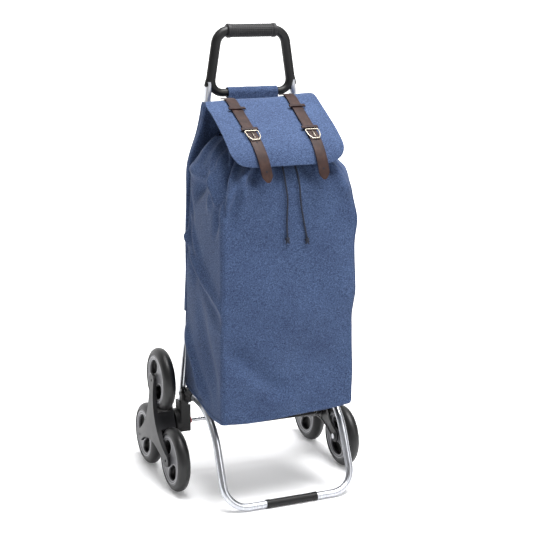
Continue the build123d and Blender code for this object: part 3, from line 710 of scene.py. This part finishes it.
class TROLLEY_OT_straps(bpy.types.Operator):
    """Two leather straps with blunt points, their keepers, buckles and prongs."""
    bl_idname = "trolley.straps"
    bl_label = "Straps and buckles"

    def execute(self, context):
        for side, (*ends, buckle_share, keeper_shares) in STRAPS.items():
            t = np.linspace(0, 1, 120)[:, None]
            length = strap_at(0.0)[3]
            left = np.maximum(0, t * length - (length - 15))
            half = 11.8 - 9.0 * (left / 15) ** 1.6
            x = np.linspace(-1, 1, 16) * half
            skin = laid_on(ends, t, x, 0.0, 0.3 * np.cos(x / 12 * 1.4) + 0 * t)
            strap = thicken(add_mesh(f"strap_{side}_leather", skin), 2.0, 0.0)
            soften(strap, 0.5, 2)
            finish_piece(strap, "flap_lid", FINISH["leather"], (f"strap_{side}",))

            edges = []
            for sign in (-1, 1):
                run = np.arange(6.0, length - 24, 4.2)
                shares = np.stack([run, run + 2.7], 1) / length
                edges.append(laid_on(ends, shares, sign * 9.6, 0.0, 1.3))
            stitch_rows(f"strap_{side}_stitches", np.concatenate(edges), "flap_lid", 0.26)

            for number, share in enumerate(keeper_shares):
                angle = round_angles(40)
                along = np.linspace(-3.6, 3.6, 9)[:, None]
                across = squarish(np.cos(angle), 0.35) * 18.5
                up = np.maximum(1.9 + squarish(np.sin(angle), 0.5) * 2.7, 1.35)
                grid = laid_on(ends, share, across, along, np.broadcast_to(up, (9, 40)))
                band = outwards(add_mesh(f"keeper_{side}_{number}", grid, around=True, caps=True))
                soften(band, 0.5, 2)
                replaced = ("strap_keepers",) if side == "left" and number == 0 else ()
                finish_piece(band, "flap_lid", FINISH["keeper_leather"], replaced)

            line = buckle_line()
            angle = round_angles(14)[None, :]
            tangent = unit(np.roll(line, -1, 0) - np.roll(line, 1, 0))
            normal = np.stack([tangent[:, 1], -tangent[:, 0]], 1)
            across = line[:, :1] + normal[:, :1] * np.cos(angle) * 1.15
            along = line[:, 1:] + normal[:, 1:] * np.cos(angle) * 1.15
            grid = laid_on(ends, buckle_share, across, along, 3.9 + 1.1 * np.sin(angle) + 0 * across)
            buckle = outwards(add_mesh(f"buckle_{side}_frame", grid, around=True, along=True))
            finish_piece(buckle, "flap_lid", FINISH["nickel"], (f"buckle_{side}",))

            u = np.linspace(0, 1, 24)
            lift = 2.9 + 1.2 * np.sin(u * np.pi * 0.8) + 0.4 * u
            path = laid_on(ends, buckle_share, 0.0 * u, -7.5 + 17 * u, lift)
            prong = outwards(tube(f"prong_{side}", path, 0.95 - 0.3 * u, 12))
            replaced = ("buckle_prongs",) if side == "left" else ()
            finish_piece(prong, "flap_lid", FINISH["nickel"], replaced)

            # Each strap hole is a dark disc laid on the leather: painted shade of the hole, not a cut through
            # it.
            hole = round_angles(28)
            for number, share in ((0, 0.69), (3, 0.92)):
                reach = np.array([0.2, 1.5, 1.9, 2.0])[:, None]
                height = np.array([1.32, 1.34, 1.4, 1.2])[:, None]
                grid = laid_on(ends, share, reach * np.cos(hole), reach * np.sin(hole), height + 0 * hole)
                mark = add_mesh(f"strap_hole_{side}_{number}", grid, around=True)
                finish_piece(mark, "flap_lid", FINISH["hole_shade"])
        return {"FINISHED"}


def buckle_line(count=96):
    """A shield outline: straight across the top, straight down its sides and round at the bottom."""
    t = np.linspace(0, 1, count, endpoint=False)
    corners = np.array([0, 0.22, 0.26, 0.46, 0.5, 0.54, 0.74, 0.78, 1.0])
    across = np.array([-12, 12, 14.5, 13, 8.0, -8.0, -13, -14.5, -12.0])
    along = np.array([-13, -13, -10.5, 5, 13.5, 13.5, 5, -10.5, -13.0])
    return np.stack([np.interp(t, corners, across), np.interp(t, corners, along)], 1)


# ---- drawstrings ----
DRAWSTRINGS = {          # the solids' routes, with a few millimetres more slack
    "right": [(9, -172, 762), (12, -198, 748), (14, -230, 724), (17, -246, 690), (20, -245.5, 648),
              (28, -244.5, 608), (35, -245.5, 574)],
    "left": [(-9, -172, 762), (-12, -197, 747), (-15, -230, 726), (-14.5, -246, 692), (-8, -245.5, 655),
             (-10.5, -244.5, 612), (-9, -245.5, 578)],
}
CORD_WIDTH = 3.6


class TROLLEY_OT_drawstrings(bpy.types.Operator):
    """Two limp drawstrings from the gathered mouth, each ending in a knot with a frayed tip."""
    bl_idname = "trolley.drawstrings"
    bl_label = "Drawstrings"

    def execute(self, context):
        for side, route in DRAWSTRINGS.items():
            points = shifted(route)
            curve = bpy.data.curves.new(f"drawstring_{side}_cord", "CURVE")
            curve.dimensions = "3D"
            line = curve.splines.new("NURBS")
            line.points.add(len(points) - 1)
            line.points.foreach_set("co", np.concatenate([points, np.ones((len(points), 1))], 1).ravel())
            line.order_u = 3
            line.use_endpoint_u = True
            line.resolution_u = 12
            path = bpy.data.objects.new("path", curve)
            sampled = bpy.data.meshes.new_from_object(path)
            centre = np.zeros(len(sampled.vertices) * 3)
            sampled.vertices.foreach_get("co", centre)
            bpy.data.objects.remove(path)
            curve.bevel_depth = CORD_WIDTH / 2 * MM
            curve.bevel_resolution = 4
            curve.use_fill_caps = True
            cord = placed(f"drawstring_{side}_cord", curve)

            end = np.array(route[-1], float)
            theta = np.linspace(0.02, np.pi - 0.02, 22)[:, None]
            phi = round_angles(30)
            radius = 4.3 + 0.7 * np.sin(3 * phi + 4 * theta) + 0.3 * np.sin(7 * phi)
            knot = end + np.array([0, -1.2, -4.2]) + grid_of(
                radius * np.sin(theta) * np.cos(phi), radius * np.sin(theta) * np.sin(phi),
                radius * 1.15 * np.cos(theta))
            knot = outwards(add_mesh(f"knot_{side}", knot, around=True, caps=True))
            replaced = ("drawstring_knots",) if side == "left" else ()
            finish_piece(knot, "frame", FINISH["cord"], replaced)

            for number, lean in enumerate((-1.6, 1.9)):
                u = np.linspace(0, 1, 14)
                tip = end + np.stack([lean * (0.6 + 1.4 * u), -1.2 - 1.0 * u, -6.5 - 6 * u], 1)
                piece = outwards(tube(f"cord_tip_{side}_{number}", tip, 1.7 - 0.5 * u**3, 12))
                finish_piece(piece, "frame", FINISH["cord"])

            cord.data.materials.append(FINISH["cord"])
            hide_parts(f"drawstring_{side}")
            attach(cord, "frame")
        return {"FINISHED"}


# ---- handle loop and grip ----
class GripSizes(bpy.types.PropertyGroup):
    pitch: bpy.props.FloatProperty(
        name="Pip spacing", description="Spacing of the grip's pips along it in millimetres", default=4.2)
    pips_round: bpy.props.IntProperty(name="Pips round", description="Pips round the grip", default=22)


def rounded_loop(corners, radii, count=16):
    """A closed line round some corners in X and Z: at each one, an arc that touches both sides."""
    corners = np.array(corners, float)
    parts = []
    for i, (corner, radius) in enumerate(zip(corners, radii)):
        back, ahead = unit(corners[i - 1] - corner), unit(corners[(i + 1) % len(corners)] - corner)
        half = np.arccos(back @ ahead) / 2
        middle = corner + unit(back + ahead) * radius / np.sin(half)
        start, end = (corner + d * radius / np.tan(half) - middle for d in (back, ahead))
        sweep = np.pi - 2 * half
        t = np.linspace(0, 1, count)[:, None]
        parts.append(middle + (np.sin((1 - t) * sweep) * start + np.sin(t * sweep) * end) / np.sin(sweep))
    return np.concatenate(parts)


class TROLLEY_OT_loop(bpy.types.Operator):
    """The handle's moulded loop, a thick tube bent round its corners, and the collars on the uprights."""
    bl_idname = "trolley.loop"
    bl_label = "Handle loop"

    def execute(self, context):
        flat = rounded_loop([(-76, GRIP_Z), (76, GRIP_Z), (96, LOWER_BAR_Z), (-96, LOWER_BAR_Z)],
                            [30, 30, 27, 27])
        following = np.roll(flat, -1, 0)
        share = np.linspace(0, 1, 5)[:-1][None, :, None]
        flat = (flat[:, None] + (following - flat)[:, None] * share).reshape(-1, 2)
        tangent = unit(np.roll(flat, -1, 0) - np.roll(flat, 1, 0))
        radius = (8.6 + 1.8 * ease(flat[:, 1], 856, 884))[:, None]
        angle = round_angles(36)
        out = np.cos(angle) * radius
        x = flat[:, :1] - tangent[:, 1:] * out
        z = flat[:, 1:] + tangent[:, :1] * out
        grid = np.stack([x, HANDLE_Y + np.sin(angle) * radius, z], -1)
        loop = outwards(add_mesh("handle_tube", grid, around=True, along=True))
        finish_piece(loop, "frame", FINISH["black_plastic"], ("handle_loop",))
        for side, sign in SIDES.items():
            z = np.linspace(867, 908, 30)
            x, y = upright_at(z)
            line = np.stack([sign * (x - 5.0 * ease(z, 868, 896)), y, z], 1)
            line[:, 1] += (HANDLE_Y - y) * ease(z, 867, 890)
            radius = 9.6 - 0.6 * bell(z, 867, 1.6) - 1.5 * ease(z, 886, 908)
            collar = outwards(tube(f"upright_collar_{side}", line, radius, 32))
            finish_piece(collar, "frame", FINISH["black_plastic"])
        return {"FINISHED"}


class TROLLEY_OT_grip(bpy.types.Operator):
    """The grip: a rubber sleeve with rows of square pips between two smooth collars."""
    bl_idname = "trolley.grip"
    bl_label = "Grip"

    def execute(self, context):
        sizes = context.scene.trolley_grip
        x = np.linspace(-56, 56, 400)[:, None]
        angle = round_angles(242)
        inside = 1 - ease(np.abs(x), 47.5, 48.5)
        rows = np.clip(2.2 * np.sin(x / sizes.pitch * 2 * np.pi) + 0.5, -1, 1)
        columns = np.clip(2.2 * np.sin(angle * sizes.pips_round) + 0.5, -1, 1)
        pips = 0.55 * (np.minimum(rows, columns) - 1) * 0.5 * inside
        collar = 0.9 * (1 - inside) - 1.6 * ease(np.abs(x), 54.6, 56.0)
        radius = 14.1 + pips * 1.3 + collar
        grid = grid_of(x, HANDLE_Y + radius * np.cos(angle), GRIP_Z + radius * np.sin(angle))
        grip = outwards(add_mesh("grip_sleeve", grid, around=True, caps=True))
        finish_piece(grip, "frame", FINISH["grip"], ("handle_grip",))
        return {"FINISHED"}


# ---- wheel rims ----
RIM_TURNS = {"left": (60, 55, 52), "right": (80, 97, 66)}      # degrees from the back, top front rear
RIM_NAMES = ("top", "front", "rear")


def rim_surface(centre, turn):
    """Rows go along the rim's section, from its bore over the outer face to its edge and back over
    the inner face; columns go round. Two rounded kidneys sink 11 mm into each face."""
    r = np.linspace(4.6, 54.9, 72)[:, None]
    angle = round_angles(220)
    face = 12.4 + 2.6 * (1 - ease(r, 10.6, 12.0)) + 0.7 * ease(r, 46.8, 47.8)
    bead = 0.8 * bell(r, 50.6, 0.9)
    kidney = np.full(np.broadcast(r, angle).shape, 9.0)
    for middle in (turn, turn + 180):
        apart = (angle - np.radians(middle) + np.pi) % (2 * np.pi) - np.pi
        shape = np.abs((r - 29.5) / 15) ** 2.6 + np.abs(apart * 29.5 / 26) ** 2.6
        kidney = np.minimum(kidney, shape ** (1 / 2.6))
    sunk = 1 - ease(kidney, 0.96, 1.03)
    lip = 0.7 * bell(kidney, 1.1, 0.05)
    height = (face + bead + lip) * (1 - sunk) + 1.5 * sunk
    # The tone paints the sunk kidneys black as painted shade of the hollow inside, the faces mid grey and the
    # beads paler.
    tone = np.clip(0.5 * (1 - sunk) + 0.5 * (bead + lip) / 0.75, 0, 1) * (1 - sunk)
    grid = grid_of(height, centre[1] + r * np.cos(angle), centre[2] + r * np.sin(angle))
    inner = grid[::-1].copy()
    inner[..., 0] *= -1
    grid = np.concatenate([grid, inner])
    grid[..., 0] += centre[0]
    tone = np.concatenate([tone, tone[::-1]])
    return grid, np.stack([tone, np.zeros_like(tone)], -1)


class TROLLEY_OT_rims(bpy.types.Operator):
    """The six moulded rims with their beads, hubs and openings, painted black inside as shade."""
    bl_idname = "trolley.rims"
    bl_label = "Rims"

    def execute(self, context):
        for side in SIDES:
            for place, turn in zip(RIM_NAMES, RIM_TURNS[side]):
                start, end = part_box(f"rim_{side}_{place}")
                centre = (np.array(start) + np.array(end)) / 2 / MM - np.array([0, AXLE_Y / MM, 0])
                grid, uv = rim_surface(centre, turn)
                rim = outwards(add_mesh(f"rim_moulding_{side}_{place}", grid, around=True, along=True, uv=uv))
                finish_piece(rim, f"wheel_{side}_{place}", FINISH["rim"],
                             (f"rim_{side}_{place}",))
        return {"FINISHED"}


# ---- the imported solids' finishes ----
NODE_FINISH = {
    "upright": "aluminium", "leg_tube": "aluminium", "bracket": "black_plastic",
    "leg_socket": "black_plastic", "foot_sleeve": "black_plastic", "base_board": "black_plastic",
    "axle": "steel", "pivot": "steel", "stop": "steel", "star_bolts": "steel", "bracket_screws": "steel",
    "bag_rest": "black_steel", "axle_bushes": "red", "star_outer": "carrier", "star_inner": "carrier",
    "tyre": "tyre", "eyelets": "nickel",
}


class TROLLEY_OT_finishes(bpy.types.Operator):
    """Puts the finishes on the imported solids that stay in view."""
    bl_idname = "trolley.finishes"
    bl_label = "Finishes"

    def execute(self, context):
        for name, solid in NODES.items():
            for start in sorted(NODE_FINISH, key=len):
                if name.startswith(start):
                    solid.data.materials.clear()
                    solid.data.materials.append(FINISH[NODE_FINISH[start]])
        return {"FINISHED"}


# ---- stage ----
class StageSizes(bpy.types.PropertyGroup):
    azimuth: bpy.props.FloatProperty(name="Azimuth", description="Camera's turn round the trolley in degrees",
                                     default=-23.2)
    elevation: bpy.props.FloatProperty(name="Elevation", description="Camera's height above level in degrees",
                                       default=13.1)
    distance: bpy.props.FloatProperty(name="Distance", description="Camera's distance from its target",
                                      default=2.9326, unit="LENGTH")
    lens: bpy.props.FloatProperty(name="Lens", description="Focal length in millimetres", default=88.95)
    light: bpy.props.FloatProperty(name="Light", description="Strength of the studio's soft light",
                                   default=1.0)


def add_area(name, place, target, size, power):
    lamp = bpy.data.lights.new(name, "AREA")
    lamp.shape = "RECTANGLE"
    lamp.size, lamp.size_y = size
    lamp.energy = power
    holder = placed(name, lamp)
    holder.location = place
    holder.rotation_euler = (Vector(target) - Vector(place)).to_track_quat("-Z", "Y").to_euler()


class TROLLEY_OT_stage(bpy.types.Operator):
    """A pale floor that curves up behind and glows more the further it is from the trolley, soft lamps and
    the camera.
    """
    bl_idname = "trolley.stage"
    bl_label = "Stage"

    def execute(self, context):
        sizes = context.scene.trolley_stage
        floor, add, shader, place = new_material(
            "glowing_white_paper", 0.9, Base_Color=linear("#fbfbfc"), Emission_Color=(1.0, 1.0, 1.0, 1.0))
        # Painted light: the paper glows, faintly within 0.6 m of the trolley and fully from 3.2 m out.
        far = add("ShaderNodeVectorMath", {"operation": "LENGTH"}, links={0: place}).node
        add("ShaderNodeMapRange", links={"Value": far.outputs["Value"]}, into=(shader, "Emission Strength"),
            values={"From Min": 0.6, "From Max": 3.2, "To Min": 0.12, "To Max": 1.0})
        angle = np.linspace(0, np.pi / 2, 30)
        y = np.concatenate([[-9000.0, -2000.0, 0.0, 2500.0], 4000 + 3000 * np.sin(angle), [7000.0]])
        z = np.concatenate([[0.0, 0.0, 0.0, 0.0], 3000 - 3000 * np.cos(angle), [9000.0]])
        x = np.linspace(-9000, 9000, 12)[:, None]
        sweep = add_mesh("paper_sweep", grid_of(x, y, z)[::-1])
        sweep.data.materials.append(floor)

        world = bpy.data.worlds.new("studio")
        world.use_nodes = True
        world.node_tree.nodes["Background"].inputs["Color"].default_value = (1.0, 1.0, 1.0, 1.0)
        world.node_tree.nodes["Background"].inputs["Strength"].default_value = 0.3 * sizes.light
        context.scene.world = world
        add_area("top", (0.3, -0.5, 2.9), (0, 0, 0.4), (1.8, 1.8), 168 * sizes.light)
        add_area("front", (1.4, -2.6, 1.9), (0, 0, 0.5), (1.2, 1.2), 24 * sizes.light)

        a, e = np.radians(sizes.azimuth), np.radians(sizes.elevation)
        back = Vector((np.sin(a) * np.cos(e), -np.cos(a) * np.cos(e), np.sin(e)))
        right = Vector((np.cos(a), np.sin(a), 0))
        target = right * 0.0461 + Vector((0, AXLE_Y, 0.464))
        camera = bpy.data.cameras.new("camera")
        camera.lens = sizes.lens
        camera.sensor_width = 36.0
        camera.clip_end = 60.0
        holder = placed("camera", camera)
        holder.location = target + back * sizes.distance
        holder.rotation_euler = back.to_track_quat("Z", "Y").to_euler()
        holder.rotation_euler.rotate_axis("Z", np.radians(0.3))
        context.scene.camera = holder
        context.scene.view_settings.view_transform = "Standard"
        return {"FINISHED"}


class TROLLEY_PT_panel(bpy.types.Panel):
    """Buttons for each group of pieces."""
    bl_idname = "TROLLEY_PT_panel"
    bl_label = "Folding trolley"
    bl_space_type = "VIEW_3D"
    bl_region_type = "UI"
    bl_category = "Trolley"

    def draw(self, context):
        for operator in OPERATORS:
            self.layout.operator(operator.bl_idname)
        for group in ("trolley_bag", "trolley_grip", "trolley_stage"):
            sizes = getattr(context.scene, group)
            for name in sizes.__annotations__:
                self.layout.prop(sizes, name)


GROUPS = {"trolley_bag": BagSizes, "trolley_grip": GripSizes, "trolley_stage": StageSizes}
OPERATORS = (TROLLEY_OT_stage, TROLLEY_OT_drawstrings, TROLLEY_OT_finishes, TROLLEY_OT_bag, TROLLEY_OT_back,
             TROLLEY_OT_flap, TROLLEY_OT_straps, TROLLEY_OT_loop, TROLLEY_OT_grip, TROLLEY_OT_rims)


def register():
    for group in GROUPS.values():
        bpy.utils.register_class(group)
    for name, group in GROUPS.items():
        setattr(bpy.types.Scene, name, bpy.props.PointerProperty(type=group))
    for operator in OPERATORS:
        bpy.utils.register_class(operator)
    bpy.utils.register_class(TROLLEY_PT_panel)


def unregister():
    bpy.utils.unregister_class(TROLLEY_PT_panel)
    for operator in reversed(OPERATORS):
        bpy.utils.unregister_class(operator)
    for name, group in GROUPS.items():
        delattr(bpy.types.Scene, name)
        bpy.utils.unregister_class(group)


def main():
    register()
    for operator in OPERATORS:
        group, name = operator.bl_idname.split(".")
        getattr(getattr(bpy.ops, group), name)()


if __name__ == "__main__":
    main()
